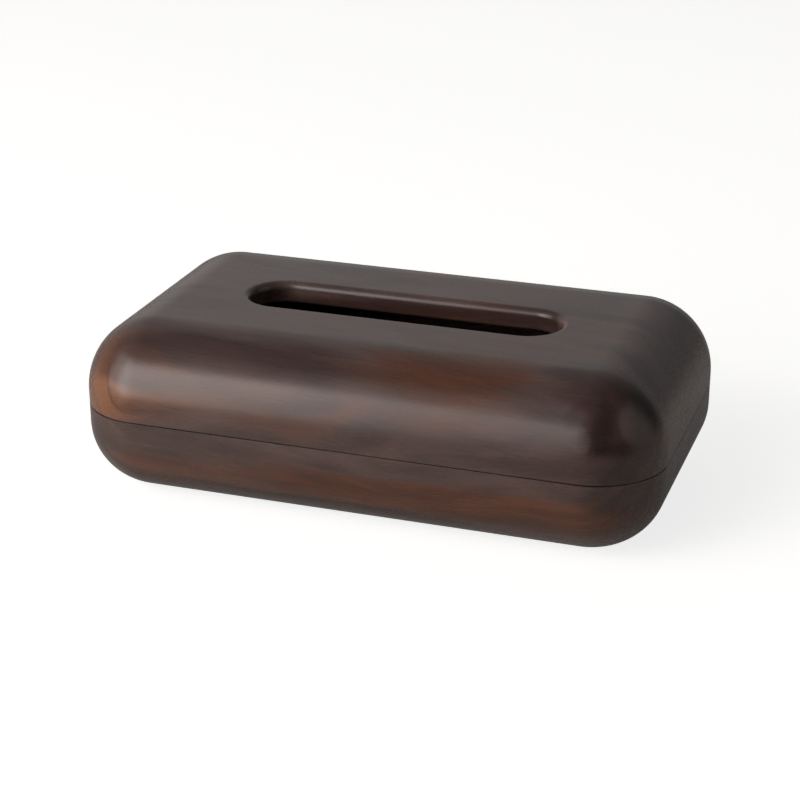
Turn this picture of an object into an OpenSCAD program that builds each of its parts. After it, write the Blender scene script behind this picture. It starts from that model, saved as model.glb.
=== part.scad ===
// Tissue box in two wooden shells. A cover with a long slot in its top stands on a shallow base tray
// and lifts straight off it to take a flat pack of tissues. Both shells are cut from solid wood and
// rounded like a pebble. Length runs along X, depth along Y and height along Z, the front faces -Y,
// and the origin is under the middle of the box, on the plane that its four pads stand on.

/* [Outline] */
// Length of the box, left to right
box_l = 265; // [235:1:340]
// Depth of the box, front to back
box_d = 156; // [130:1:220]
// Radius of the four corners, seen from above
plan_r = 33; // [33:0.5:45]
// Thickness of the side walls of both shells
wall = 10; // [8:0.5:12]
// Radius of the hollow's corners, seen from above: a large one leaves wood for the magnets
hollow_r = 30; // [26:0.5:32]

/* [Cover] */
// Height of the cover, from its rim to its top face
cover_h = 39; // [37:0.5:80]
// Rounding between the cover's sides and its top face
cover_edge_r = 33; // [15:0.5:33]
// Thickness of the cover's top
top_t = 10; // [6:0.5:14]

/* [Slot] */
// Length of the slot, measured at the top face over its rounded lip
slot_l = 153; // [100:1:165]
// Width of the slot, measured at the top face over its rounded lip
slot_w = 38.2; // [24:0.2:50]
// Rounding of the slot's lip on the top face
slot_edge_r = 3.5; // [1:0.25:4]
// Rounding of the slot's lower edge, inside the cover
slot_under_r = 1.5; // [0.5:0.25:2]

/* [Base] */
// Height of the base's wood, from its underside to its rim
base_h = 38.7; // [36:0.1:80]
// Rounding between the base's sides and its underside
base_edge_r = 29.5; // [15:0.5:33]
// Thickness of the base's floor
floor_t = 9; // [6:0.5:14]

/* [Seam] */
// Open joint line between the two shells, all the way round
seam_gap = 0.3; // [0.2:0.05:1]
// Thickness of the tongue that stands round the base's hollow and locates the cover
tongue_t = 3; // [2:0.25:3.5]
// Height of the tongue above the base's rim: the cover stands on top of it
tongue_h = 3; // [2:0.25:5]
// Side clearance between the tongue and the cover's rebate
tongue_gap = 0.3; // [0.15:0.05:0.6]

/* [Magnets] */
// Diameter of the magnets that draw the shells together
magnet_d = 6; // [4:0.5:6]
// Thickness of the magnets
magnet_t = 3; // [2:0.5:4]
// Rounding of the magnets' plated edges
magnet_edge_r = 0.3; // [0.1:0.1:0.5]
// How far a magnet's face lies below the rim that it is let into
magnet_sink = 0.2; // [0.1:0.05:0.5]
// Radial clearance of a magnet in its bore
magnet_gap = 0.05; // [0.02:0.01:0.1]

/* [Pads] */
// Diameter of the anti-slip pads under the base
pad_d = 12; // [8:1:20]
// Thickness of the pads
pad_t = 2; // [1.5:0.25:4]
// How deep the pads are let into the underside
pad_recess = 1; // [0.5:0.1:1.2]
// Radial clearance of a pad in its recess
pad_gap = 0.2; // [0.1:0.05:0.5]
// Rounding of the pads' lower edges
pad_edge_r = 0.5; // [0.2:0.1:0.8]
// Distance from a pad's middle to where the underside starts to round up, along X and along Y
pad_inset = 14; // [8:0.5:18]

/* [Hidden] */
$fn = 128;

// The places of the corners: left and right along X, front and back along Y
left = -1;
right = 1;
front = -1;
back = 1;
corners = [[left, front], [right, front], [left, back], [right, back]];

// Heights above the plane that the box stands on
base_z = pad_t - pad_recess;
rim_z = base_z + base_h;
cover_z = rim_z + seam_gap;

// The hollow is the outline less the walls. Its rounded edges run parallel to the outer ones.
hollow_l = box_l - 2 * wall;
hollow_d = box_d - 2 * wall;
cover_hollow_edge_r = cover_edge_r - wall;
base_hollow_edge_r = base_edge_r - wall;

// The cover's rebate takes the tongue, and is shallower than it by the seam
rebate_w = tongue_t + tongue_gap;
rebate_h = tongue_h - seam_gap;

// The slot is a straight run with half-round ends. Its lip is a ring let into a plain window.
slot_run = slot_l - slot_w;
throat_r = slot_w / 2 - slot_edge_r;
lip_margin = 2;
window_r = slot_w / 2 + lip_margin;

// Each magnet stands on the corner's diagonal, midway between the rebate and the outside
function on_diagonal(half, r) = half - r * (1 - sqrt(1 / 2));
magnet_x = (on_diagonal(box_l / 2, plan_r) + on_diagonal(hollow_l / 2 + rebate_w, hollow_r + rebate_w)) / 2;
magnet_y = (on_diagonal(box_d / 2, plan_r) + on_diagonal(hollow_d / 2 + rebate_w, hollow_r + rebate_w)) / 2;
magnet_bore_r = magnet_d / 2 + magnet_gap;
magnet_bore_h = magnet_t + magnet_sink;

// The pads stand on the flat part of the underside
pad_x = box_l / 2 - base_edge_r - pad_inset;
pad_y = box_d / 2 - base_edge_r - pad_inset;

// How far a cutting shape runs past the face that it cuts
cut = 1;

wood_colour = "#4a302a";
plated_colour = "#b9bbbd";
pad_colour = "#26221f";

// Section of a wall's edge: a strip from the axis out to reach, standing on the axis plane,
// with its outer corners rounded by low_r below and high_r above
module edge_section(reach, height, low_r, high_r) {
    difference() {
        square([reach, height]);
        if (high_r > 0)
            translate([reach - high_r, height - high_r])
                corner_waste(high_r);
        if (low_r > 0)
            translate([reach - low_r, low_r])
                mirror([0, 1])
                    corner_waste(low_r);
    }
}

// What a quarter round of radius r takes off a square corner
module corner_waste(r) {
    difference() {
        square(r + cut);
        circle(r);
    }
}

// Block standing on z = 0 with corners of corner_r seen from above, and edges rounded by low_r
// round its underside and high_r round its top. It is a core, four sides and four turned corners.
module rounded_block(length, depth, corner_r, height, low_r, high_r) {
    core_l = length - 2 * corner_r;
    core_d = depth - 2 * corner_r;
    translate([-core_l / 2, -core_d / 2, 0])
        cube([core_l, core_d, height]);
    for (side = [0:3]) {
        out = side % 2 == 0 ? core_l / 2 : core_d / 2;
        run = side % 2 == 0 ? core_d : core_l;
        rotate([0, 0, 90 * side]) {
            translate([out, 0, 0])
                rotate([90, 0, 0])
                    linear_extrude(height = run, center = true)
                        edge_section(corner_r, height, low_r, high_r);
            translate([out, run / 2, 0])
                rotate_extrude(angle = 90)
                    edge_section(corner_r, height, low_r, high_r);
        }
    }
}

// Block of the hollow's plan, grown sideways by grow
module hollow_block(grow, height, low_r, high_r) {
    rounded_block(hollow_l + 2 * grow, hollow_d + 2 * grow, hollow_r + grow, height, low_r, high_r);
}

// Carries a section round the slot: along its two straight sides and round its two ends
module round_the_slot() {
    for (turn = [0, 180])
        rotate([0, 0, turn]) {
            rotate([90, 0, 90])
                linear_extrude(height = slot_run, center = true)
                    children();
            translate([slot_run / 2, 0, 0])
                rotate([0, 0, -90])
                    rotate_extrude(angle = 180)
                        children();
        }
}

// Section of the slot's lip, rounded over at the top face and eased below
module lip_section() {
    translate([window_r, 0])
        mirror([1, 0])
            edge_section(window_r - throat_r, top_t, slot_under_r, slot_edge_r);
}

// Puts its child at the place of every magnet
module at_magnets() {
    for (corner = corners)
        translate([corner[0] * magnet_x, corner[1] * magnet_y, 0])
            children();
}

// Puts its child at the place of every pad
module at_pads() {
    for (corner = corners)
        translate([corner[0] * pad_x, corner[1] * pad_y, 0])
            children();
}

module cover() {
    color(wood_colour)
        translate([0, 0, cover_z]) {
            difference() {
                rounded_block(box_l, box_d, plan_r, cover_h, 0, cover_edge_r);
                translate([0, 0, -cut])
                    hollow_block(0, cover_h - top_t + cut, 0, cover_hollow_edge_r);
                translate([0, 0, -cut])
                    hollow_block(rebate_w, rebate_h + cut, 0, 0);
                at_magnets()
                    translate([0, 0, -cut])
                        cylinder(r = magnet_bore_r, h = magnet_bore_h + cut);
                translate([0, 0, cover_h - top_t])
                    round_the_slot()
                        translate([0, -cut])
                            square([window_r, top_t + 2 * cut]);
            }
            translate([0, 0, cover_h - top_t])
                round_the_slot()
                    lip_section();
        }
}

module base() {
    color(wood_colour)
        translate([0, 0, base_z])
            difference() {
                union() {
                    rounded_block(box_l, box_d, plan_r, base_h, base_edge_r, 0);
                    translate([0, 0, base_h])
                        hollow_block(tongue_t, tongue_h, 0, 0);
                }
                translate([0, 0, floor_t])
                    hollow_block(0, base_h + tongue_h, base_hollow_edge_r, 0);
                at_magnets()
                    translate([0, 0, base_h - magnet_bore_h])
                        cylinder(r = magnet_bore_r, h = magnet_bore_h + cut);
                at_pads()
                    translate([0, 0, -cut])
                        cylinder(r = pad_d / 2 + pad_gap, h = pad_recess + cut);
            }
}

// Disc magnet at one corner, with its lower face at height z
module magnet(side, end, z) {
    color(plated_colour)
        translate([side * magnet_x, end * magnet_y, z])
            rotate_extrude()
                edge_section(magnet_d / 2, magnet_t, magnet_edge_r, magnet_edge_r);
}

// The cover's magnets hang from the ends of their bores, and the base's stand in theirs
module cover_magnet(side, end) {
    magnet(side, end, cover_z + magnet_sink);
}

module base_magnet(side, end) {
    magnet(side, end, rim_z - magnet_bore_h);
}

// Anti-slip pad at one corner of the underside
module pad(side, end) {
    color(pad_colour)
        translate([side * pad_x, end * pad_y, 0])
            rotate_extrude()
                edge_section(pad_d / 2, pad_t, pad_edge_r, 0);
}

cover();
base();
cover_magnet(left, front);  // cover_magnet_front_left
cover_magnet(right, front);  // cover_magnet_front_right
cover_magnet(left, back);  // cover_magnet_back_left
cover_magnet(right, back);  // cover_magnet_back_right
base_magnet(left, front);  // base_magnet_front_left
base_magnet(right, front);  // base_magnet_front_right
base_magnet(left, back);  // base_magnet_back_left
base_magnet(right, back);  // base_magnet_back_right
pad(left, front);  // pad_front_left
pad(right, front);  // pad_front_right
pad(left, back);  // pad_back_left
pad(right, back);  // pad_back_right
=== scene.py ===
# %% [markdown]
# # A tissue box in two wooden shells
# The real object is a pebble-shaped box of dark, satin-finished hardwood. A cover with a long slot in its
# top stands on a shallow base tray, and only a hairline seam at mid-height shows where they part. The
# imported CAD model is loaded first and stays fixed, and everything made here goes where it says.

# %% Load the frame and keep its box
import math

import bpy
import numpy as np
from mathutils import Matrix, Vector
from mathutils.geometry import delaunay_2d_cdt


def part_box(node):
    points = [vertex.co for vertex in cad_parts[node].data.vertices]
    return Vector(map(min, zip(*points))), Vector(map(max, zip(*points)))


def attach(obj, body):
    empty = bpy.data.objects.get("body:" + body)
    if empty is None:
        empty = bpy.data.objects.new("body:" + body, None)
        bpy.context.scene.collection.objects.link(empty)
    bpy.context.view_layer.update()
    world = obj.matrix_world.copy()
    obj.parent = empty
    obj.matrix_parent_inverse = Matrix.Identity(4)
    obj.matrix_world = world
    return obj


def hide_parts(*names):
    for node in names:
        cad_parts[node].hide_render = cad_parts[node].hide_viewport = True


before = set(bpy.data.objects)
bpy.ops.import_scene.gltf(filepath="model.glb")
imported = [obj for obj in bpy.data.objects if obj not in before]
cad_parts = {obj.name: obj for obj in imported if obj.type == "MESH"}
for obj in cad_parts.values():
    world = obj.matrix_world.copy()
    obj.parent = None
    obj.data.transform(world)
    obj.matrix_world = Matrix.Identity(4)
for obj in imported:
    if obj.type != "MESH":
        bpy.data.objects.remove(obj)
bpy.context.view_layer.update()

MM = 0.001

# %% [markdown]
# ## Sizes
# The boxes of the CAD nodes give the outer sizes and the heights. A box can't tell the radii and
# thicknesses inside it, so these are repeated here as the real object's own dimensions, in metres.

# %% Read the heights and half sizes from the frame
cover_low, cover_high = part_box("cover")
base_low, base_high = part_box("base")
HALF_L = cover_high.x
HALF_D = cover_high.y
COVER_Z = cover_low.z
TOP_Z = cover_high.z
BASE_Z = base_low.z
TONGUE_Z = base_high.z
print(f"shells: {2 * HALF_L / MM:.1f} by {2 * HALF_D / MM:.1f} mm,",
      f"wood from {BASE_Z / MM:.1f} to {TOP_Z / MM:.1f} mm")

# %% Name the radii and thicknesses
PLAN_R = 33 * MM
COVER_EDGE_R = 33 * MM
BASE_EDGE_R = 29.5 * MM
WALL = 10 * MM
HOLLOW_R = 30 * MM
TOP_T = 10 * MM
FLOOR_T = 9 * MM
SEAM_GAP = 0.3 * MM
TONGUE_T = 3 * MM
TONGUE_GAP = 0.3 * MM
SLOT_L = 153 * MM
SLOT_W = 38.2 * MM
SLOT_EDGE_R = 3.5 * MM
SLOT_UNDER_R = 1.5 * MM
MAGNET_GAP = 0.05 * MM
PAD_GAP = 0.2 * MM

# %% Work out the inner heights and the eased edges
RIM_Z = COVER_Z - SEAM_GAP
CEILING_Z = TOP_Z - TOP_T
FLOOR_Z = BASE_Z + FLOOR_T
REBATE_W = TONGUE_T + TONGUE_GAP
HOLLOW_L = HALF_L - WALL
HOLLOW_D = HALF_D - WALL

# Every cut edge of the wood is broken with fine paper
EASE = 0.2 * MM
TONGUE_EASE = 0.4 * MM
BORE_EASE = 0.15 * MM
print(f"hollow: {2 * HOLLOW_L / MM:.1f} by {2 * HOLLOW_D / MM:.1f} mm,",
      f"from {FLOOR_Z / MM:.1f} to {CEILING_Z / MM:.1f} mm high")

# %% [markdown]
# ## Outlines
# Seen from above, every level of both shells is a rounded rectangle: the outside, the hollow, the tongue
# and even the slot, which is a rounded rectangle with no straight ends. A box with bevelled edges could
# stand in for each, but stacked outlines with the same number of points join into one clean surface, and
# the same function then makes all of them.

# %% One quarter of an outline, walked from +X to +Y
SIDE_STEPS, ARC_STEPS, LONG_STEPS = 14, 28, 36
RIGHT_ANGLE = math.pi / 2


def quarter_walk(side_steps, arc_steps, long_steps):
    """How far each point has gone along the short side (0 to 1), round the corner (0 to 90 degrees)
    and back along the long side (1 to 0)."""
    side = np.r_[np.arange(side_steps) / max(side_steps, 1), np.ones(arc_steps + long_steps + 1)]
    corner = np.linspace(0, RIGHT_ANGLE, arc_steps + 1)
    turn = np.r_[np.zeros(side_steps), corner, np.full(long_steps, RIGHT_ANGLE)]
    long = np.r_[np.ones(side_steps + arc_steps), np.linspace(1, 0, long_steps + 1)]
    return side, turn, long


BLOCK_WALK = quarter_walk(SIDE_STEPS, ARC_STEPS, LONG_STEPS)
SLOT_WALK = quarter_walk(0, SIDE_STEPS + ARC_STEPS, LONG_STEPS)
print("points in a quarter of an outline:", len(BLOCK_WALK[0]))


# %% Whole outlines at many heights
def outlines(half_l, half_d, corner_r, height, walk=BLOCK_WALK):
    """Closed outlines, one for each height, as an array (levels, points, 3).
    A point of the quarter is (core length * long + r cos turn, core depth * side + r sin turn), and the
    other three quarters are its mirror images, joined anti-clockwise as seen from above."""
    side, turn, long = walk
    half_l, half_d, corner_r, height = (np.atleast_1d(v).astype(float)[:, None]
                                        for v in np.broadcast_arrays(half_l, half_d, corner_r, height))
    x = (half_l - corner_r) * long + corner_r * np.cos(turn)
    y = (half_d - corner_r) * side + corner_r * np.sin(turn)
    x_round = np.hstack([x[:, :-1], -x[:, :0:-1], -x[:, :-1], x[:, :0:-1]])
    y_round = np.hstack([y[:, :-1], y[:, :0:-1], -y[:, :-1], -y[:, :0:-1]])
    return np.stack([x_round, y_round, np.broadcast_to(height, x_round.shape)], axis=-1)


def outer_rings(inset, height):
    """Levels of the outside, drawn in by inset."""
    return outlines(HALF_L - inset, HALF_D - inset, np.maximum(PLAN_R - inset, 0), height)


def hollow_rings(inset, height):
    """Levels of the hollow, drawn in by inset, or grown where it is negative."""
    return outlines(HOLLOW_L - inset, HOLLOW_D - inset, HOLLOW_R - inset, height)


def slot_rings(half_w, height):
    """Levels of the slot, half_w wide to each side, with half-round ends."""
    return outlines((SLOT_L - SLOT_W) / 2 + half_w, half_w, half_w, height, SLOT_WALK)


print("points in an outline:", outer_rings(0, 0).shape[1])


# %% Circles and rounded edges
def circle(centre, radius, height, points=40):
    """Levels of a round hole or disc: centre plus radius times (cos, sin), anti-clockwise."""
    angle = np.arange(points) * (2 * np.pi / points)
    radius, height = (np.atleast_1d(v).astype(float)[:, None] for v in np.broadcast_arrays(radius, height))
    x = centre[0] + radius * np.cos(angle)
    y = centre[1] + radius * np.sin(angle)
    return np.stack([x, y, np.broadcast_to(height, x.shape)], axis=-1)


def quarter_turn(steps):
    """Angles from 0 to 90 degrees, for one rounded edge."""
    return np.linspace(0, RIGHT_ANGLE, steps + 1)


print("points round a hole:", circle((0, 0), 1, 0).shape[1])

# %% [markdown]
# ## From outlines to one closed skin
# Neighbouring outlines are joined by quads. A flat face with round holes in it, such as the rim with its
# magnet bores, could be cut with Booleans, but these leave slivers. Here it is filled between its loops by
# a constrained Delaunay triangulation, which keeps every loop as it is. Welding then closes the joints
# and turns the quads round a pole into triangles.

# %% Quads between outlines
def joined(rings, inside=False):
    """Quads between each outline and the next. Rising outlines of an outside face outwards."""
    levels, points = rings.shape[:2]
    here = np.arange(points)
    ahead = np.roll(here, -1)
    rows = np.arange(levels - 1)[:, None] * points
    quads = np.stack([rows + here, rows + ahead, rows + points + ahead, rows + points + here], axis=-1)
    quads = quads.reshape(-1, 4)
    return rings.reshape(-1, 3), quads[:, ::-1] if inside else quads


print("quads between two outlines:", len(joined(outer_rings(np.zeros(2), np.arange(2)))[1]))

# %% Flat faces with holes
# A point this far outside a loop's edge, as an area in square metres, still counts as on it
ON_EDGE = 1e-12
# Points closer together than this, in metres, would be taken for one
LEAST_DISTANCE = 1e-9


def within(loop, points):
    """Which points lie inside a convex loop: to the left of all of its edges."""
    edge = np.roll(loop, -1, axis=0) - loop
    arm = points[:, None] - loop[None]
    return (edge[:, 0] * arm[..., 1] - edge[:, 1] * arm[..., 0] >= -ON_EDGE).all(axis=1)


def flat_face(outer, holes, facing_up):
    """Triangles between an outer loop and the holes in it, all at one height. Those whose middle lies
    outside the loop or inside a hole are left out."""
    loops = [outer, *holes]
    points = np.concatenate(loops)
    starts = np.cumsum([0] + [len(loop) for loop in loops])
    edges = [(a + i, a + (i + 1) % (b - a)) for a, b in zip(starts, starts[1:]) for i in range(b - a)]
    found = delaunay_2d_cdt([Vector(p[:2]) for p in points], edges, [], 0, LEAST_DISTANCE)
    source = np.array([ids[0] for ids in found[3]])
    triangles = source[np.array(found[2])]
    middles = points[triangles, :2].mean(axis=1)
    keep = within(outer[:, :2], middles)
    for hole in holes:
        keep &= ~within(hole[:, :2], middles)
    triangles = triangles[keep]
    return points, triangles if facing_up else triangles[:, ::-1]


print("triangles of a plain round end:", len(flat_face(circle((0, 0), 1, 0)[0], [], True)[1]))

# %% Weld the parts of a skin into a piece
# A tenth of a micrometre, in metres
WELD = 1e-7
SHARP_DEG = 35
WEIGHT_OF_AREA = 100


def without_repeats(faces):
    """Drops corners that welding has made equal to the one before, and faces with fewer than three."""
    kept = []
    for face in faces:
        corners = [c for i, c in enumerate(face) if c != face[i - 1]]
        if len(corners) > 2:
            kept.append(corners)
    return kept


def make_piece(name, parts, sawn=None):
    """Welds the parts' points to a tenth of a micrometre and puts the skin into a mesh object. sawn
    holds, for each part, how unpolished its points are, from 0 to 1, and becomes a vertex attribute."""
    starts = np.cumsum([0] + [len(points) for points, _ in parts])
    points = np.concatenate([points for points, _ in parts])
    keys = np.round(points / WELD).astype(np.int64)
    _, first, where = np.unique(keys, axis=0, return_index=True, return_inverse=True)
    where = where.reshape(-1)
    faces = []
    for start, (_, part_faces) in zip(starts, parts):
        faces += without_repeats(where[part_faces + start].tolist())
    mesh = bpy.data.meshes.new(name)
    mesh.from_pydata(points[first].tolist(), [], faces)
    mesh.validate()
    mesh.shade_smooth()
    mesh.set_sharp_from_angle(angle=math.radians(SHARP_DEG))
    if sawn is not None:
        levels = np.concatenate([np.broadcast_to(v, len(points)) for v, (points, _) in zip(sawn, parts)])
        mesh.attributes.new("sawn", "FLOAT", "POINT").data.foreach_set("value", levels[first])
    piece = bpy.data.objects.new(name, mesh)
    bpy.context.scene.collection.objects.link(piece)
    weighted = piece.modifiers.new("weighted_normals", "WEIGHTED_NORMAL")
    weighted.mode = "FACE_AREA"
    weighted.keep_sharp = True
    weighted.weight = WEIGHT_OF_AREA
    return piece


def report(piece):
    """Prints a piece's size, its triangles and whether its skin is closed."""
    mesh = piece.data
    corners = np.empty(len(mesh.vertices) * 3)
    mesh.vertices.foreach_get("co", corners)
    corners = corners.reshape(-1, 3)
    size = (corners.max(0) - corners.min(0)) / MM
    uses = np.zeros(len(mesh.edges), int)
    edge_of = np.empty(len(mesh.loops), int)
    mesh.loops.foreach_get("edge_index", edge_of)
    np.add.at(uses, edge_of, 1)
    triangles = sum(len(p.vertices) - 2 for p in mesh.polygons)
    print(f"{piece.name}: {size.round(2).tolist()} mm, {triangles} triangles, open edges {(uses != 2).sum()}")


# %% [markdown]
# ## The magnets' and pads' places
# Round discs let into the wood hold the shells together and keep the box from sliding. The CAD nodes say
# where each magnet and pad lies, so their boxes give the middles of the bores and recesses in the shells.

# %% Read the middles and sizes of the small pieces
CORNERS = ("front_left", "front_right", "back_left", "back_right")


def place(node):
    """Middle of a CAD node from above, its radius, and its lowest and highest level."""
    low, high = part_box(node)
    return ((low.x + high.x) / 2, (low.y + high.y) / 2), (high.x - low.x) / 2, low.z, high.z


cover_magnets = {corner: place(f"cover_magnet_{corner}") for corner in CORNERS}
base_magnets = {corner: place(f"base_magnet_{corner}") for corner in CORNERS}
pads = {corner: place(f"pad_{corner}") for corner in CORNERS}
print("magnet at", [round(c / MM, 2) for c in cover_magnets["back_right"][0]], "mm, pad at",
      [round(c / MM, 2) for c in pads["back_right"][0]], "mm")

# %% [markdown]
# ## The cover
# The real cover is milled from one block: outside, rounded slot, hollow, and a rebate round the rim that
# takes the base's tongue. Its skin is one loop of levels: up the outside, over the top, down through the
# slot, along the ceiling and down the hollow to the rim, which closes it.

# %% Blind bores let into both rims
EASE_STEPS = 3


def bore(place_of_magnet, mouth_z, end_z):
    """Mouth loop of a magnet's bore and the skin of its wall and end. The mouth is eased: radius and
    height follow a quarter circle from the rim into the wall."""
    centre, magnet_r = place_of_magnet[:2]
    wall_r = magnet_r + MAGNET_GAP
    inward = math.copysign(1, end_z - mouth_z)
    ease = quarter_turn(EASE_STEPS)
    radius = np.r_[wall_r + BORE_EASE * (1 - np.sin(ease)), wall_r, 0]
    height = np.r_[mouth_z + inward * BORE_EASE * (1 - np.cos(ease)), end_z, end_z]
    rings = circle(centre, radius, height)
    return rings[0], joined(rings, inside=inward < 0)


cover_bores = [bore(magnet, COVER_Z, magnet[3]) for magnet in cover_magnets.values()]
base_bores = [bore(magnet, RIM_Z, magnet[2]) for magnet in base_magnets.values()]
print("bores:", len(cover_bores), "in the cover and", len(base_bores), "in the base")

# %% The cover's levels
FILLET_STEPS = 26
LIP_STEPS = 10
HOLLOW_STEPS = 18

edge = quarter_turn(EASE_STEPS)
fillet = quarter_turn(FILLET_STEPS)
lip = quarter_turn(LIP_STEPS)
hollow_turn = quarter_turn(HOLLOW_STEPS)
hollow_edge_r = COVER_EDGE_R - WALL
throat = SLOT_W / 2 - SLOT_EDGE_R
# The cover stands on the tongue, so its rebate ends at the tongue's own height
rebate_z = TONGUE_Z

cover_outside = outer_rings(
    np.r_[EASE * (1 - np.sin(edge)), COVER_EDGE_R * (1 - np.cos(fillet))],
    np.r_[COVER_Z + EASE * (1 - np.cos(edge)), TOP_Z - COVER_EDGE_R * (1 - np.sin(fillet))])
slot = slot_rings(
    np.r_[SLOT_W / 2 - SLOT_EDGE_R * np.sin(lip), throat + SLOT_UNDER_R * (1 - np.cos(lip))],
    np.r_[TOP_Z - SLOT_EDGE_R * (1 - np.cos(lip)), CEILING_Z + SLOT_UNDER_R * (1 - np.sin(lip))])
cover_hollow = hollow_rings(
    np.r_[hollow_edge_r * (1 - np.sin(hollow_turn)), EASE * (np.cos(edge) - 1), -REBATE_W,
          -REBATE_W - EASE * (1 - np.cos(edge))],
    np.r_[CEILING_Z - hollow_edge_r * (1 - np.cos(hollow_turn)),
          rebate_z + EASE * (1 - np.sin(edge)), rebate_z, COVER_Z + EASE * (1 - np.sin(edge))])
print("levels of the cover:", len(cover_outside), "outside,", len(slot), "in the slot and",
      len(cover_hollow), "in the hollow")

# %% The cover's skin
# The polish ends at the last level of the slot. The hollow, the rim and the bores are left as cut.
sawn_levels = np.r_[np.zeros(len(cover_outside) + len(slot) - 1), np.ones(1 + len(cover_hollow))]
cover = make_piece("cover_shell", [
    joined(np.concatenate([cover_outside, slot, cover_hollow])),
    flat_face(cover_outside[0], [cover_hollow[-1], *(mouth for mouth, _ in cover_bores)], facing_up=False),
    *(skin for _, skin in cover_bores)],
    sawn=[np.repeat(sawn_levels, cover_outside.shape[1]), 1, *(1 for _ in cover_bores)])
report(cover)

# %% [markdown]
# ## The base
# The base is a tray from the same stock. Its skin starts at the flat underside, with a shallow recess for
# each pad, rises round the edge to the rim, goes over the tongue and down to the floor.

# %% Recesses for the pads
def recess(place_of_pad):
    """Mouth loop of a pad's recess and the skin of its wall and end."""
    centre, pad_r, _, end_z = place_of_pad
    rings = circle(centre, np.array([1, 1, 0]) * (pad_r + PAD_GAP), np.array([BASE_Z, end_z, end_z]))
    return rings[0], joined(rings)


recesses = [recess(pad) for pad in pads.values()]
print("recesses in the underside:", len(recesses))

# %% The base's levels
BASE_FILLET_STEPS = 24

fillet = quarter_turn(BASE_FILLET_STEPS)
hollow_edge_r = BASE_EDGE_R - WALL
base_outside = outer_rings(
    np.r_[BASE_EDGE_R * (1 - np.sin(fillet)), EASE * (1 - np.cos(edge))],
    np.r_[BASE_Z + BASE_EDGE_R * (1 - np.cos(fillet)), RIM_Z - EASE * (1 - np.sin(edge))])
tray = hollow_rings(
    np.r_[-TONGUE_T, -TONGUE_T + TONGUE_EASE * (1 - np.cos(edge)), -TONGUE_EASE * (1 - np.sin(edge)),
          hollow_edge_r * (1 - np.cos(hollow_turn))],
    np.r_[RIM_Z, TONGUE_Z - TONGUE_EASE * (1 - np.sin(edge)), TONGUE_Z - TONGUE_EASE * (1 - np.cos(edge)),
          FLOOR_Z + hollow_edge_r * (1 - np.sin(hollow_turn))])
print("levels of the base:", len(base_outside), "outside and", len(tray), "in the tray")

# %% The base's skin
# Only the outside and the underside are polished. The rim, the tongue and the tray are left as cut.
base = make_piece("base_shell", [
    joined(base_outside),
    flat_face(base_outside[-1], [tray[0], *(mouth for mouth, _ in base_bores)], facing_up=True),
    *(skin for _, skin in base_bores),
    joined(tray),
    flat_face(tray[-1], [], facing_up=True),
    flat_face(base_outside[0], [mouth for mouth, _ in recesses], facing_up=False),
    *(skin for _, skin in recesses)],
    sawn=[0, 1, *(1 for _ in base_bores), 1, 1, 0, *(1 for _ in recesses)])
report(base)

# %% [markdown]
# ## Magnets and pads
# The magnets are pressed discs with plated, rounded edges, and the pads are punched from rubber sheet. A
# bevelled cylinder would do for both, but a profile carried round an axis, from its lower pole to its
# upper one, gives the two edges their own radii.

# %% Discs with eased edges
DISC_EASE_STEPS = 5
DISC_POINTS = 56


def disc(name, place_of_disc, lower_ease, upper_ease):
    """Closed disc: radius and height follow the underside, a quarter circle, the wall, another quarter
    circle and the top face."""
    centre, radius, low, high = place_of_disc
    turn = quarter_turn(DISC_EASE_STEPS)
    radii = np.r_[0, radius - lower_ease * (1 - np.sin(turn)), radius - upper_ease * (1 - np.cos(turn)), 0]
    heights = np.r_[low, low + lower_ease * (1 - np.cos(turn)), high - upper_ease * (1 - np.sin(turn)), high]
    return make_piece(name, [joined(circle(centre, radii, heights, points=DISC_POINTS))])


MAGNET_EASE = 0.3 * MM
PAD_EASE = 0.5 * MM
PAD_TOP_EASE = 0.05 * MM
magnet_pieces = {}
for corner in CORNERS:
    for shell, places in (("cover", cover_magnets), ("base", base_magnets)):
        node = f"{shell}_magnet_{corner}"
        magnet_pieces[node] = disc(f"{node}_disc", places[corner], MAGNET_EASE, MAGNET_EASE)
pad_pieces = {f"pad_{corner}": disc(f"pad_{corner}_disc", pads[corner], PAD_EASE, PAD_TOP_EASE)
              for corner in CORNERS}
report(magnet_pieces["cover_magnet_front_left"])
report(pad_pieces["pad_front_left"])

# %% [markdown]
# ## What each piece rides on and stands for
# The cover lifts off the base with its four magnets, and the tray keeps its own four and the pads. Every
# piece here hides the CAD solid that it stands for and moves with that solid's body.

# %% Tie the pieces to the CAD bodies
def stands_for(piece, node, body):
    """Hides a CAD node and puts the piece that stands for it on that node's body."""
    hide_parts(node)
    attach(piece, body)


stands_for(cover, "cover", "cover_body")
stands_for(base, "base", "base_body")
for node, piece in magnet_pieces.items():
    stands_for(piece, node, node.split("_")[0] + "_body")
for node, piece in pad_pieces.items():
    stands_for(piece, node, "base_body")
print("pieces tied:", 2 + len(magnet_pieces) + len(pad_pieces))

# %% [markdown]
# ## The camera
# The photograph is taken from the right of the front and a little above, with a long lens. The camera
# stands where the box's outline and seam fall on the photograph's, and its place is given as a direction
# and a distance from a point near the box's middle, which can be read more easily than a matrix.

# %% Place the camera
IMAGE_PX = 800
FOCAL_PX = 2016.4
CAMERA_AZIMUTH = math.radians(18.73)
CAMERA_HEIGHT_ANGLE = math.radians(22.44)
CAMERA_DISTANCE = 923.2 * MM
LOOK_AT = Vector((-0.68, -2.54, 34.70)) * MM

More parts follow.
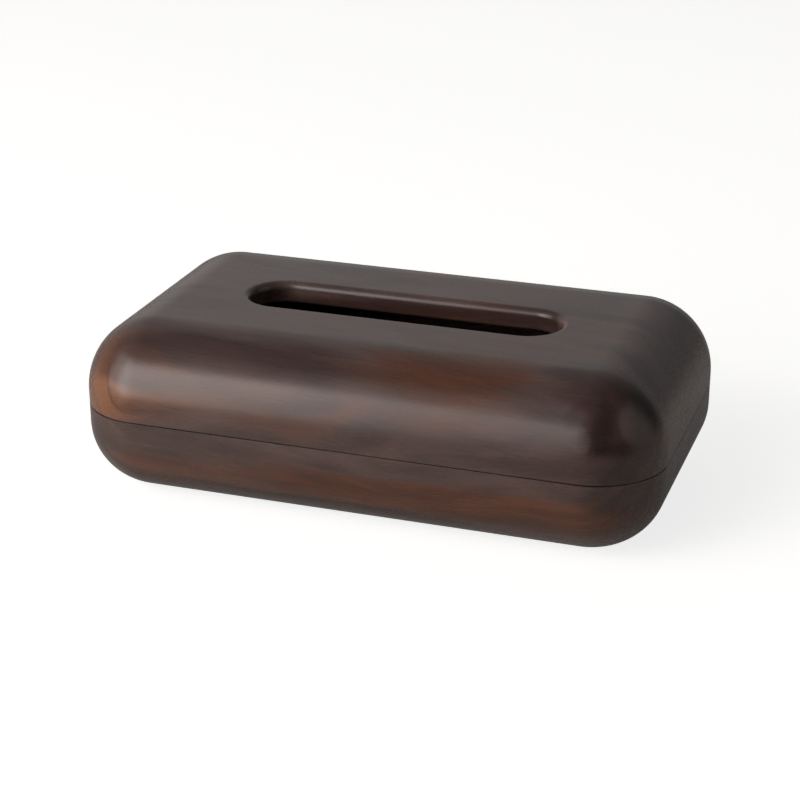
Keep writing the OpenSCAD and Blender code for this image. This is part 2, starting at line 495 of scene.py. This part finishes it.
camera_data = bpy.data.cameras.new("camera")
camera_data.lens = camera_data.sensor_width * FOCAL_PX / IMAGE_PX
camera = bpy.data.objects.new("camera", camera_data)
bpy.context.scene.collection.objects.link(camera)
back = Vector((math.sin(CAMERA_AZIMUTH) * math.cos(CAMERA_HEIGHT_ANGLE),
               -math.cos(CAMERA_AZIMUTH) * math.cos(CAMERA_HEIGHT_ANGLE), math.sin(CAMERA_HEIGHT_ANGLE)))
right = Vector((math.cos(CAMERA_AZIMUTH), math.sin(CAMERA_AZIMUTH), 0))
camera.matrix_world = Matrix.Translation(LOOK_AT + back * CAMERA_DISTANCE) @ Matrix(
    (right, back.cross(right), back)).transposed().to_4x4()
bpy.context.scene.camera = camera
print("camera at", [round(c / MM) for c in camera.matrix_world.translation], "mm,",
      "lens", round(camera_data.lens, 1), "mm")

# %% [markdown]
# ## Shader nodes in few words
# A finish is a tree of nodes. The small class below adds a node and links its inputs in one line, and a
# group is a tree that several materials share, with named sockets.

# %% Helpers for node trees
# A Mix node holds sockets for numbers, vectors and colours, and these are the ones for colours.
MIX_A, MIX_B, MIX_COLOUR = 6, 7, 2
# Nearly all of a noise texture's values lie between the first and the last of these.
NOISE_LOW, NOISE_MIDDLE, NOISE_HIGH = 0.3, 0.5, 0.7


class Nodes:
    """Adds nodes to a tree, and links or sets what is given for their inputs."""

    def __init__(self, tree):
        self.tree = tree
        tree.nodes.clear()

    def add(self, kind, inputs=None, **settings):
        """One node. Each input is given another node's output or a plain value."""
        node = self.tree.nodes.new(kind)
        for name, value in settings.items():
            setattr(node, name, value)
        for socket, value in (inputs or {}).items():
            if isinstance(value, bpy.types.NodeSocket):
                self.tree.links.new(value, node.inputs[socket])
            else:
                node.inputs[socket].default_value = value
        return node

    def math(self, operation, a, b=0.0):
        """An operation on two numbers."""
        return self.add("ShaderNodeMath", {0: a, 1: b}, operation=operation).outputs[0]

    def vector(self, operation, a, b=(0, 0, 0)):
        """An operation on two vectors, which gives a vector, a length or a dot product."""
        node = self.add("ShaderNodeVectorMath", {0: a, 1: b}, operation=operation)
        return node.outputs["Value" if operation in ("LENGTH", "DOT_PRODUCT") else "Vector"]

    def scaled(self, vector, factor):
        """A vector times a number."""
        return self.add("ShaderNodeVectorMath", {0: vector, "Scale": factor}, operation="SCALE").outputs[0]

    def weighted_sum(self, *terms):
        """The sum of values, each times its own weight."""
        total, *rest = [self.math("MULTIPLY", value, weight) for value, weight in terms]
        for term in rest:
            total = self.math("ADD", total, term)
        return total

    def product(self, *values):
        """The values multiplied with each other."""
        total, *rest = values
        for value in rest:
            total = self.math("MULTIPLY", total, value)
        return total

    def noise(self, place, detail=2.0, roughness=0.5):
        """A noise texture with one patch for each unit of the place."""
        inputs = {"Vector": place, "Scale": 1.0, "Detail": detail, "Roughness": roughness}
        return self.add("ShaderNodeTexNoise", inputs)

    def spread(self, value, low, high, to_low=0.0, to_high=1.0):
        """Takes low..high smoothly to to_low..to_high."""
        ends = {"Value": value, "From Min": low, "From Max": high, "To Min": to_low, "To Max": to_high}
        return self.add("ShaderNodeMapRange", ends, interpolation_type="SMOOTHSTEP").outputs["Result"]

    def spread_noise(self, value, to_low=0.0, to_high=1.0):
        """Takes the usual values of a noise to to_low..to_high."""
        return self.spread(value, NOISE_LOW, NOISE_HIGH, to_low, to_high)

    def blend(self, factor, a, b):
        """The colour a where factor is 0, and b where it is 1."""
        node = self.add("ShaderNodeMix", {"Factor": factor, MIX_A: a, MIX_B: b}, data_type="RGBA")
        return node.outputs[MIX_COLOUR]

    def group(self, shared, inputs):
        """The outputs of a node group that the builder shared has filled."""
        return self.add("ShaderNodeGroup", inputs, node_tree=shared.tree).outputs

    def link(self, output, socket):
        """Links an output to another node's input."""
        self.tree.links.new(output, socket)


def new_group(name, inputs, outputs):
    """An empty node group with named sockets. Returns its builder, its inputs and its output node."""
    tree = bpy.data.node_groups.new(name, "ShaderNodeTree")
    for title, (kind, value) in inputs.items():
        tree.interface.new_socket(title, in_out="INPUT", socket_type=kind).default_value = value
    for title, kind in outputs.items():
        tree.interface.new_socket(title, in_out="OUTPUT", socket_type=kind)
    nodes = Nodes(tree)
    return nodes, nodes.add("NodeGroupInput").outputs, nodes.add("NodeGroupOutput")


print("a noise is taken to lie from", NOISE_LOW, "to", NOISE_HIGH)

# %% [markdown]
# ## Zones of colour in the wood
# A plank isn't one colour all over: this one has an orange corner, a reddish band in the base and dark
# streaks on a corner. Some zones paint light and shade into the wood as well: painted shade deepens the
# right corner's streaks to black and darkens the slot's left end and the base's lower edge, and painted
# light brightens the front's rounded edge, the top and the right end. They could be painted on, but a soft
# ellipsoid in space, with its edge feathered along the grain by noise, needs no picture and looks right
# from all sides. The group gives one such zone, and a material places as many as it needs.

# %% The zone group
FEATHERS_PER_METRE = (22, 110, 110)
FEATHERING = 0.9
# In reaches from the middle, with the feathering added
ZONE_FULL, ZONE_GONE = 0.70, 1.60

zone_tree, zone_in, zone_out = new_group(
    "soft_zone",
    {"Place": ("NodeSocketVector", (0, 0, 0)),
     "Middle": ("NodeSocketVector", (0, 0, 0)),
     "Reach": ("NodeSocketVector", (0.03, 0.03, 0.03))},
    {"Mask": "NodeSocketFloat"})
from_middle = zone_tree.vector("SUBTRACT", zone_in["Place"], zone_in["Middle"])
how_far = zone_tree.vector("LENGTH", zone_tree.vector("DIVIDE", from_middle, zone_in["Reach"]))
feather = zone_tree.noise(zone_tree.vector("MULTIPLY", zone_in["Place"], FEATHERS_PER_METRE)).outputs[0]
edge_of_zone = zone_tree.math("ADD", how_far, zone_tree.math("MULTIPLY", feather, FEATHERING))
zone_tree.link(zone_tree.spread(edge_of_zone, ZONE_GONE, ZONE_FULL), zone_out.inputs["Mask"])
print("nodes in the zone group:", len(zone_tree.tree.nodes))

# %% [markdown]
# ## Smudges
# No satin wood or plated metal is evenly smooth: hands and cloths leave soft patches that shine a little
# more or less. They hardly show from the front, but a highlight without them looks like plastic. The
# group gives a value from -1 to 1 that both finishes add to their roughness in their own measure.

# %% The smudge group
smudge_tree, smudge_in, smudge_out = new_group(
    "soft_smudges",
    {"Place": ("NodeSocketVector", (0, 0, 0)),
     "Patches per Metre": ("NodeSocketFloat", 25.0)},
    {"Change": "NodeSocketFloat"})
smudge_place = smudge_tree.scaled(smudge_in["Place"], smudge_in["Patches per Metre"])
smudge_noise = smudge_tree.noise(smudge_place, detail=3, roughness=0.6).outputs[0]
smudge_tree.link(smudge_tree.spread_noise(smudge_noise, -1, 1), smudge_out.inputs["Change"])
print("nodes in the smudge group:", len(smudge_tree.tree.nodes))

# %% [markdown]
# ## Dark hardwood
# The wood is a dark brown heartwood with reddish streaks. Wood is a solid: its growth rings are nested
# tubes round the heart of the tree, so the pattern is computed in space, and the same rings run as long
# streaks along the sides and as arcs over the rounded ends. A picture of wood wrapped round the box could
# not do that. The grain runs along X.

# %% The wood group and its colours
wood_tree, wood_in, wood_out = new_group(
    "dark_hardwood",
    {"Place": ("NodeSocketVector", (0, 0, 0)),
     "Red": ("NodeSocketFloat", 0.0),
     "Dark": ("NodeSocketFloat", 0.0),
     "Pale": ("NodeSocketFloat", 0.0),
     "Black and Shade": ("NodeSocketFloat", 0.0),
     "Lines": ("NodeSocketFloat", 0.0),
     "Seam Shade": ("NodeSocketFloat", 0.0),
     "Sawn": ("NodeSocketFloat", 0.0)},
    {"Color": "NodeSocketColor", "Roughness": "NodeSocketFloat", "Height": "NodeSocketFloat"})
BROWN = (0.106, 0.0650, 0.0560, 1)
DARK_BROWN = (0.056, 0.0290, 0.0250, 1)
RED_BROWN = (0.113, 0.0440, 0.0260, 1)
DARK_RED = (0.068, 0.0250, 0.0150, 1)
PALE_EDGE = (0.230, 0.0920, 0.0440, 1)
# Near black: painted shade on the right corner, over its dark streaks, and in the slot's left end
BLACK_AND_SHADE_BROWN = (0.024, 0.0120, 0.0080, 1)
print("inputs of the wood group:", ", ".join(socket.name for socket in wood_in if socket.name))

# %% Growth rings round the heart
WANDERS_PER_METRE = (6, 16, 16)
WANDER = (0, 28 * MM, 28 * MM)
FIBRES_PER_METRE = (40, 700, 700)

wander = wood_tree.noise(wood_tree.vector("MULTIPLY", wood_in["Place"], WANDERS_PER_METRE)).outputs["Color"]
sideways = wood_tree.vector("SUBTRACT", wander, [NOISE_MIDDLE] * 3)
shift = wood_tree.vector("MULTIPLY", sideways, WANDER)
grain_place = wood_tree.vector("ADD", wood_in["Place"], shift)
grain_x, grain_y, _ = wood_tree.add("ShaderNodeSeparateXYZ", {0: grain_place}).outputs
ring_distance = wood_tree.vector("LENGTH", wood_tree.vector("MULTIPLY", grain_place, (0, 1, 1)))


def ring_noise(along, across, around, detail=2.0):
    """Noise that is stretched along the grain and follows the rings: bands per metre along, across and
    round the heart."""
    where = wood_tree.add("ShaderNodeCombineXYZ", {
        0: wood_tree.math("MULTIPLY", grain_x, along),
        1: wood_tree.math("MULTIPLY", ring_distance, across),
        2: wood_tree.math("MULTIPLY", grain_y, around)})
    return wood_tree.noise(where.outputs[0], detail).outputs[0]


broad = ring_noise(along=8, across=75, around=12)
patches = ring_noise(along=9, across=60, around=30)
streak = ring_noise(along=20, across=210, around=45)
flame = ring_noise(along=55, across=420, around=110)
fibres = wood_tree.noise(wood_tree.vector("MULTIPLY", grain_place, FIBRES_PER_METRE), detail=1).outputs[0]
print("the heart wanders by up to", WANDER[1] / MM / 2, "mm")

# %% Dark, red, pale and black wood
DARK_FROM, DARK_TO = 0.42, 0.74
RED_FROM, RED_TO = 0.46, 0.78
PATCHES_IN_RED, STREAK_IN_RED, FLAME_IN_RED = 0.40, 0.34, 0.26
ZONE_SHIFT = 0.20

# Dark zones darken the wood, and some paint shade: the base's lower edge and the right corner. Less than no
# dark paints light on the top and where the highlight ends.
darkness = wood_tree.math("ADD", broad, wood_tree.math("MULTIPLY", wood_in["Dark"], ZONE_SHIFT))
dark = wood_tree.spread(darkness, DARK_FROM, DARK_TO)
redness = wood_tree.weighted_sum((patches, PATCHES_IN_RED), (streak, STREAK_IN_RED),
                                 (flame, FLAME_IN_RED), (wood_in["Red"], ZONE_SHIFT))
red = wood_tree.spread(redness, RED_FROM, RED_TO)
brown = wood_tree.blend(dark, BROWN, DARK_BROWN)
brown = wood_tree.blend(red, brown, wood_tree.blend(dark, RED_BROWN, DARK_RED))
# Pale zones are orange wood, and some are painted light: the highlight on the front's rounded edge and the
# right end
brown = wood_tree.blend(wood_in["Pale"], brown, PALE_EDGE)
# Black zones are painted shade, on the right corner over its dark streaks and in the slot's left end
brown = wood_tree.blend(wood_in["Black and Shade"], brown, BLACK_AND_SHADE_BROWN)
print("a whole zone shifts the wood by", round(ZONE_SHIFT / (DARK_TO - DARK_FROM), 2), "of the way to dark")

# %% Fine lines and shading
LINE_GONE, LINE_FULL = 0.030, 0.006
STREAK_SHADES = (0.84, 1.18)
FLAME_SHADES = (0.93, 1.07)
FIBRE_SHADES = (0.985, 1.015)
LINE_SHADE = 0.60
# The painted shade along the seam darkens the wood down to this share
SEAM_SHADE_FACTOR = 0.35

# A line runs where a noise without detail crosses its middle
line_noise = ring_noise(along=5, across=150, around=8, detail=0)
from_line = wood_tree.math("ABSOLUTE", wood_tree.math("SUBTRACT", line_noise, NOISE_MIDDLE))
line_mask = wood_tree.product(wood_tree.spread(from_line, LINE_GONE, LINE_FULL), wood_in["Lines"])
# The grain's own tone, times the painted shade along the seam in the last factor
shade = wood_tree.product(
    wood_tree.spread_noise(streak, *STREAK_SHADES),
    wood_tree.spread_noise(flame, *FLAME_SHADES),
    wood_tree.spread_noise(fibres, *FIBRE_SHADES),
    wood_tree.spread(line_mask, 0, 1, 1.0, LINE_SHADE),
    wood_tree.spread(wood_in["Seam Shade"], 0, 1, 1.0, SEAM_SHADE_FACTOR))
wood_tree.link(wood_tree.scaled(brown, shade), wood_out.inputs["Color"])
print("the grain shades the wood from", round(STREAK_SHADES[0] * FLAME_SHADES[0] * FIBRE_SHADES[0], 2),
      "to", round(STREAK_SHADES[1] * FLAME_SHADES[1] * FIBRE_SHADES[1], 2))

# %% Satin and relief
SATIN_ROUGHNESS = (0.26, 0.28)
SAWN_ROUGHER = 0.25
SAWN_DEEPER = 4
FIBRES_IN_RELIEF, STREAK_IN_RELIEF = 0.2, 0.8

satin = wood_tree.spread_noise(fibres, *SATIN_ROUGHNESS)
rougher = wood_tree.math("MULTIPLY", wood_in["Sawn"], SAWN_ROUGHER)
wood_tree.link(wood_tree.math("ADD", satin, rougher), wood_out.inputs["Roughness"])
relief = wood_tree.weighted_sum((fibres, FIBRES_IN_RELIEF), (streak, STREAK_IN_RELIEF))
deeper = wood_tree.spread(wood_in["Sawn"], 0, 1, 1, SAWN_DEEPER)
wood_tree.link(wood_tree.product(relief, deeper), wood_out.inputs["Height"])
print("nodes in the wood group:", len(wood_tree.tree.nodes))

# %% [markdown]
# ## Planks and their finish
# Both shells are cut from the same kind of plank, but not from the same place in the log. Shade is painted
# on the outside along the edges of the seam, where the gap between the shells casts its shadow. It is
# fainter along the middle of the front, and the right end has none. The inside, where no coat went, is
# rougher.

# %% An empty material and the end of every finish
def new_material(name):
    """An empty material, the builder for its nodes, and the object's own coordinates."""
    material = bpy.data.materials.new(name)
    material.use_nodes = True
    nodes = Nodes(material.node_tree)
    return material, nodes, nodes.add("ShaderNodeTexCoord").outputs["Object"]


def surface(nodes, looks, height, strength, depth):
    """Ends a material: a Principled shader with the given looks over a relief, which has its strength
    and its depth in metres."""
    bump = nodes.add("ShaderNodeBump", {"Height": height, "Strength": strength, "Distance": depth})
    shader = nodes.add("ShaderNodeBsdfPrincipled", {**looks, "Normal": bump.outputs[0]})
    nodes.add("ShaderNodeOutputMaterial", {"Surface": shader.outputs[0]})


# Painted shade: the outside of a shell is darkened within this distance of its rim's height
SEAM_SHADE_WIDTH = 0.6 * MM
print("painted seam shade reaches up to", round(SEAM_SHADE_WIDTH / MM, 2), "mm from the rim")


# %% A plank's own finish
WOOD_SMUDGE = 0.012
WOOD_RELIEF, WOOD_DEPTH = 0.03, 0.04 * MM
WOOD_IOR = 1.5


def zone_masks(nodes, at, zones):
    """For every input of the wood group that the zones name, the sum of their masks times their
    amounts."""
    masks = {}
    for kind, amount, middle, reach in zones:
        spot = {"Place": at, "Middle": [c * MM for c in middle], "Reach": [c * MM for c in reach]}
        mask = nodes.math("MULTIPLY", nodes.group(zone_tree, spot)["Mask"], amount)
        masks[kind] = nodes.math("ADD", masks[kind], mask) if kind in masks else mask
    return masks


def wood_finish(name, heart, turn_deg, rim_z, zones):
    """Satin hardwood. heart is the point of the log's centre line level with the box's middle, in
    metres, turn_deg how far the log leans from the box's length, in degrees, and rim_z the height of the
    shell's rim, along which shade is painted on the outside."""
    material, nodes, at = new_material(name)
    masks = zone_masks(nodes, at, zones)
    masks["Sawn"] = nodes.add("ShaderNodeAttribute", attribute_name="sawn").outputs["Fac"]
    height = nodes.add("ShaderNodeSeparateXYZ", {0: at}).outputs["Z"]
    from_rim = nodes.math("ABSOLUTE", nodes.math("SUBTRACT", height, rim_z))
    # Painted seam shade: dark near the rim on the outside only, fainter where zones take it away
    masks["Seam Shade"] = nodes.product(nodes.spread(from_rim, SEAM_SHADE_WIDTH, 0),
                                 nodes.math("SUBTRACT", 1.0, masks["Sawn"]),
                                 nodes.math("ADD", masks["Seam Shade"], 1.0))
    turned = nodes.add("ShaderNodeMapping", {"Vector": at, "Location": [-c for c in heart],
                                             "Rotation": [math.radians(d) for d in turn_deg]})
    wood = nodes.group(wood_tree, {"Place": turned.outputs[0], **masks})
    smudge = nodes.math("MULTIPLY", nodes.group(smudge_tree, {"Place": at})["Change"], WOOD_SMUDGE)
    looks = {"Base Color": wood["Color"], "IOR": WOOD_IOR,
             "Roughness": nodes.math("ADD", wood["Roughness"], smudge)}
    surface(nodes, looks, wood["Height"], WOOD_RELIEF, WOOD_DEPTH)
    return material


# %% The cover's zones
# Each zone says which input of the wood group it feeds and how much, and its middle and reach in
# millimetres. Less than nothing takes away: less dark, less red, fainter painted seam shade.
FAINTER_SEAM_SHADE = [
    # Less painted seam shade along the middle of the front, and none on all of the right end
    ("Seam Shade", -0.5, (20, -78, 40), (90, 20, 20)),
    ("Seam Shade", -1.0, (126, 0, 40), (26, 130, 30))]
COVER_ZONES = [
    # The orange left corner, with fine dark lines in it
    ("Pale", 0.80, (-115, -71, 46), (20, 24, 15)),
    ("Pale", 0.38, (-110, -74, 54), (10, 12, 5)),
    ("Red", 1.6, (-106, -66, 66), (34, 24, 14)),
    ("Lines", 1.0, (-118, -70, 48), (26, 30, 20)),
    # Beside it, above the seam, a paler and greyer band
    ("Pale", 0.42, (-97, -78, 50), (34, 14, 8)),
    ("Red", -2.0, (-88, -78, 46), (36, 14, 8)),
    ("Dark", -1.4, (-66, -78, 46), (62, 20, 11)),
    # The front's rounded edge, paler and less red on its left half: partly the wood, partly a painted
    # highlight that widens the softbox's reflection
    ("Pale", 0.30, (-70, -73, 60), (78, 22, 11)),
    ("Red", -1.0, (-72, -75, 57), (40, 12, 5)),
    ("Pale", 0.24, (-80, -77, 55), (34, 10, 5)),
    ("Dark", -1.2, (-4, -77, 53), (26, 12, 5)),
    # The right half of the front; the last two zones lighten the wood where the highlight runs out, a painted
    # highlight
    ("Red", 0.8, (30, -73, 60), (70, 14, 7)),
    ("Red", -0.9, (60, -78, 46), (70, 20, 12)),
    ("Dark", 0.35, (34, -78, 46), (44, 12, 8)),
    ("Dark", -1.3, (80, -75, 58), (28, 12, 6)),
    ("Dark", -1.6, (103, -75, 60), (7, 10, 9)),
    # A reddish flame where the front turns into the top, and duller wood on both sides of it
    ("Red", 1.3, (43, -58, 74), (54, 24, 13)),
    ("Dark", -0.6, (43, -58, 74), (50, 24, 13)),
    ("Pale", 0.18, (64, -70, 66), (22, 12, 4)),
    ("Dark", 1.2, (-50, -60, 74), (70, 22, 12)),
    ("Red", -0.6, (-50, -60, 74), (70, 22, 12)),
    ("Dark", 0.3, (92, -60, 73), (22, 20, 14)),
    ("Red", -0.8, (92, -60, 73), (22, 24, 14)),
    ("Dark", 1.8, (101, -70, 67), (9, 10, 6)),
    # Black and dark zones on the right corner, which faces away from the key light: dark streaks deepened
    # into painted shade, with a painted highlight of paler, greyer wood between them
    ("Dark", 2.0, (111, -73, 59), (9, 14, 16)),
    ("Black and Shade", 0.85, (109, -71, 62), (7, 14, 13)),
    ("Black and Shade", 0.75, (115, -72, 55), (13, 12, 5)),
    ("Black and Shade", 0.60, (115, -72, 43), (15, 14, 8)),
    ("Black and Shade", 0.90, (122, -52, 67), (10, 9, 14)),
    ("Red", -1.3, (118, -62, 58), (24, 28, 30)),
    ("Dark", -1.6, (120, -64, 63), (10, 10, 9)),
    # The right end, paler as painted light, and its darker upper edge
    ("Pale", 0.30, (132, 10, 50), (9, 80, 30)),
    ("Dark", 0.8, (116, -30, 75), (12, 34, 9)),
    # The top, lighter as painted light, and the slot's far wall with its two ends; the left end is painted
    # shade
    ("Dark", -1.0, (-20, 0, 80), (170, 80, 9)),
    ("Red", 0.4, (60, 0, 80), (110, 60, 8)),
    ("Dark", 0.9, (0, 18, 73), (135, 9, 8)),
    ("Black and Shade", 0.80, (-68, 14, 74), (12, 9, 5)),
    ("Dark", 1.5, (66, 16, 76), (9, 6, 4))]
print("zones in the cover:", len(COVER_ZONES))

# %% The base's zones
BASE_ZONES = [
    # Painted shade on the right corner below the seam, under the cover's black zones, and fine lines under
    # them
    ("Black and Shade", 0.55, (113, -74, 33), (15, 16, 8)),
    ("Lines", 0.8, (105, -74, 30), (34, 30, 9)),
    # The reddish band along the front, paler at the left, and the greyer wood above it
    ("Red", 1.4, (32, -74, 23), (142, 30, 11)),
    ("Dark", -0.8, (20, -76, 24), (140, 20, 10)),
    ("Pale", 0.22, (-80, -74, 19), (50, 30, 9)),
    ("Red", -1.0, (-40, -78, 36), (110, 20, 7)),
    # The lower edge, darkened as painted shade where it turns under towards the table, and the greyer left
    # corner
    ("Dark", 1.5, (0, -66, 6), (140, 30, 9)),
    ("Red", -1.0, (-120, -60, 28), (14, 30, 20))]
print("zones in the base:", len(BASE_ZONES))

# %% The two planks
COVER_HEART, COVER_TURN = (0.0, 0.065, -0.04), (0, 1.5, 2)
BASE_HEART, BASE_TURN = (0.35, 0.09, -0.09), (0, 1, -1)
cover_wood = wood_finish("cover_wood", COVER_HEART, COVER_TURN, COVER_Z, FAINTER_SEAM_SHADE + COVER_ZONES)
base_wood = wood_finish("base_wood", BASE_HEART, BASE_TURN, RIM_Z, FAINTER_SEAM_SHADE + BASE_ZONES)
cover.data.materials.append(cover_wood)
base.data.materials.append(base_wood)
print("nodes in the cover's finish:", len(cover_wood.node_tree.nodes),
      "and in the base's:", len(base_wood.node_tree.nodes))

# %% [markdown]
# ## Plated magnets
# The disc magnets are nickel-plated. Plating over a pressed disc keeps a very fine pebbled skin, so the
# metal is bright but never a mirror. It only shows when the cover is off.

# %% The plating
COOL_NICKEL = (0.60, 0.60, 0.60, 1)
WARM_NICKEL = (0.66, 0.65, 0.62, 1)
NICKEL_ROUGHNESS = 0.22
NICKEL_SMUDGE = 0.06
NICKEL_SMUDGES_PER_METRE = 300.0
PEBBLES_PER_METRE = 2600.0
PEBBLE_RELIEF, PEBBLE_DEPTH = 0.3, 0.02 * MM


def plating_finish(name):
    """Bright nickel, a little warmer and rougher where it is smudged."""
    material, nodes, at = new_material(name)
    smudges = {"Place": at, "Patches per Metre": NICKEL_SMUDGES_PER_METRE}
    smudge = nodes.group(smudge_tree, smudges)["Change"]
    pebbles = nodes.noise(nodes.scaled(at, PEBBLES_PER_METRE)).outputs[0]
    looks = {"Base Color": nodes.blend(nodes.spread(smudge, -1, 1), COOL_NICKEL, WARM_NICKEL),
             "Metallic": 1.0,
             "Roughness": nodes.math("ADD", nodes.math("MULTIPLY", smudge, NICKEL_SMUDGE), NICKEL_ROUGHNESS)}
    surface(nodes, looks, pebbles, PEBBLE_RELIEF, PEBBLE_DEPTH)
    return material


plating = plating_finish("bright_plating")
for piece in magnet_pieces.values():
    piece.data.materials.append(plating)
print("plated pieces:", len(magnet_pieces))

# %% [markdown]
# ## Rubber pads
# The pads are punched from dark soft rubber, matt all over, with a fine grain in its skin and a little
# pale dust. A plain grey would look like paint, so the grain changes colour, roughness and relief at once.

# %% The rubber
RUBBER_LOW = (0.017, 0.0150, 0.0135, 1)
RUBBER_HIGH = (0.027, 0.0235, 0.0210, 1)
RUBBER_ROUGHNESS = (0.68, 0.82)
GRAINS_PER_METRE = 1400.0
GRAIN_RELIEF, GRAIN_DEPTH = 0.5, 0.05 * MM
DUST = (0.085, 0.078, 0.070, 1)
DUST_PER_METRE = 420.0
DUST_FROM, DUST_TO, MOST_DUST = 0.52, 0.75, 0.35


def rubber_finish(name):
    """Matt rubber, lighter and rougher on top of its grain, with dust where a coarser noise is high."""
    material, nodes, at = new_material(name)
    grain = nodes.noise(nodes.scaled(at, GRAINS_PER_METRE), detail=3, roughness=0.6).outputs[0]
    dust = nodes.noise(nodes.scaled(at, DUST_PER_METRE), detail=3, roughness=0.7).outputs[0]
    rubber = nodes.blend(nodes.spread_noise(grain), RUBBER_LOW, RUBBER_HIGH)
    looks = {"Base Color": nodes.blend(nodes.spread(dust, DUST_FROM, DUST_TO, 0, MOST_DUST), rubber, DUST),
             "Roughness": nodes.spread_noise(grain, *RUBBER_ROUGHNESS)}
    surface(nodes, looks, grain, GRAIN_RELIEF, GRAIN_DEPTH)
    return material


rubber_material = rubber_finish("matt_rubber")
for piece in pad_pieces.values():
    piece.data.materials.append(rubber_material)
print("rubber pieces:", len(pad_pieces))

# %% [markdown]
# ## The studio
# A large softbox at the left of the front, brighter in its middle, lights the box, and its reflection is
# the long soft highlight on the cover's rounded edge. Weaker light spills from above, from the front and
# from the left, and a weak softbox stands at the right. Area lamps give soft shadows and show in the
# satin as the real softboxes do, so they are used here in place of a sun.

# %% Place the softboxes
LAMP_DISTANCE = 2.5


def towards(azimuth_deg, elevation_deg):
    """Direction from the box: azimuth 0 is the front and 90 the right, elevation 90 is straight up."""
    azimuth, elevation = math.radians(azimuth_deg), math.radians(elevation_deg)
    level = math.cos(elevation)
    return Vector((math.sin(azimuth) * level, -math.cos(azimuth) * level, math.sin(elevation)))


def softbox(name, azimuth_deg, elevation_deg, size, radiance):
    """A rectangular lamp that faces the box. Its power is radiance times pi times its area."""
    lamp = bpy.data.lights.new(name, "AREA")
    lamp.shape = "RECTANGLE"
    lamp.size, lamp.size_y = size
    lamp.energy = radiance * math.pi * size[0] * size[1]
    holder = bpy.data.objects.new(name, lamp)
    bpy.context.scene.collection.objects.link(holder)
    outward = towards(azimuth_deg, elevation_deg)
    holder.location = outward * LAMP_DISTANCE
    holder.rotation_euler = outward.to_track_quat("Z", "Y").to_euler()
    holder.visible_camera = False
    print(f"{name}: {size[0]} by {size[1]} m at {LAMP_DISTANCE} m, {lamp.energy:.0f} W")


softbox("key_softbox", -43, 21, size=(2.55, 2.12), radiance=2.13)
softbox("key_middle", -38, 21, size=(1.06, 2.00), radiance=2.98)
softbox("spill_above", -34, 54, size=(1.62, 0.88), radiance=0.54)
softbox("spill_front", -9, 28, size=(0.61, 1.43), radiance=0.73)
softbox("spill_left", -80, 46, size=(0.88, 1.62), radiance=0.385)
softbox("right_softbox", 93.5, 24, size=(2.17, 2.50), radiance=0.24)

# %% [markdown]
# ## The room and the table
# The world is the room: a white backdrop for the camera, and otherwise one faint, wide glow from behind
# at the left. The wood of the photograph hardly mirrors the white room, so a reflection sees only a small
# share of the backdrop. The box stands on a pale table that glows a little, so that it is as white as the
# backdrop and still keeps a faint shadow.

# %% Light the room
ROOM_GLOSS_SHARE = 0.08
GLOW_FROM = towards(-145, 10)
GLOW_PEAK = 0.44
WHITE = (1, 1, 1, 1)

world = bpy.data.worlds.new("studio")
bpy.context.scene.world = world
world.use_nodes = True
room = Nodes(world.node_tree)


def backdrop_share(nodes, gloss_share):
    """1 for what the camera sees straight or through glass, and a small share for reflections."""
    ray = nodes.add("ShaderNodeLightPath").outputs
    straight = nodes.math("MAXIMUM", ray["Is Camera Ray"], ray["Is Transmission Ray"])
    return nodes.math("MAXIMUM", straight, nodes.math("MULTIPLY", ray["Is Glossy Ray"], gloss_share))


# The glow is its peak times the square of the cosine of the angle from its middle
direction = room.add("ShaderNodeTexCoord").outputs["Generated"]
facing = room.math("MAXIMUM", room.vector("DOT_PRODUCT", direction, GLOW_FROM), 0.0)
room_glow = room.math("MULTIPLY", room.math("POWER", facing, 2.0), GLOW_PEAK)
strength = room.add("ShaderNodeMix", {"Factor": backdrop_share(room, ROOM_GLOSS_SHARE),
                                      "A": room_glow, "B": 1.0}, data_type="FLOAT")
background = room.add("ShaderNodeBackground", {"Color": WHITE, "Strength": strength.outputs[0]})
room.add("ShaderNodeOutputWorld", {"Surface": background.outputs[0]})
print("nodes in the world:", len(world.node_tree.nodes))

# %% Lay the table
TABLE_HALF = 6.0
TABLE_Z = -0.05 * MM
TABLE_COLOUR = (0.57, 0.55, 0.515, 1)
TABLE_GLOW = 0.8
TABLE_GLOSS_SHARE = 0.115

floor_mesh = bpy.data.meshes.new("floor")
table_corners = [(x * TABLE_HALF, y * TABLE_HALF, TABLE_Z) for x, y in ((-1, -1), (1, -1), (1, 1), (-1, 1))]
floor_mesh.from_pydata(table_corners, [], [(0, 1, 2, 3)])
floor = bpy.data.objects.new("floor", floor_mesh)
bpy.context.scene.collection.objects.link(floor)
print(f"table: {2 * TABLE_HALF:.0f} m square, {-TABLE_Z / MM:.2f} mm under the pads")

# %% The table's finish
pale = bpy.data.materials.new("pale_table")
pale.use_nodes = True
table = Nodes(pale.node_tree)
table_glow = table.math("MULTIPLY", backdrop_share(table, TABLE_GLOSS_SHARE), TABLE_GLOW)
sheet = table.add("ShaderNodeBsdfDiffuse", {"Color": TABLE_COLOUR})
lift = table.add("ShaderNodeEmission", {"Color": WHITE, "Strength": table_glow})
both = table.add("ShaderNodeAddShader", {0: sheet.outputs[0], 1: lift.outputs[0]})
table.add("ShaderNodeOutputMaterial", {"Surface": both.outputs[0]})
floor_mesh.materials.append(pale)
bpy.context.scene.view_settings.view_transform = "Standard"
print("nodes in the table's finish:", len(pale.node_tree.nodes))
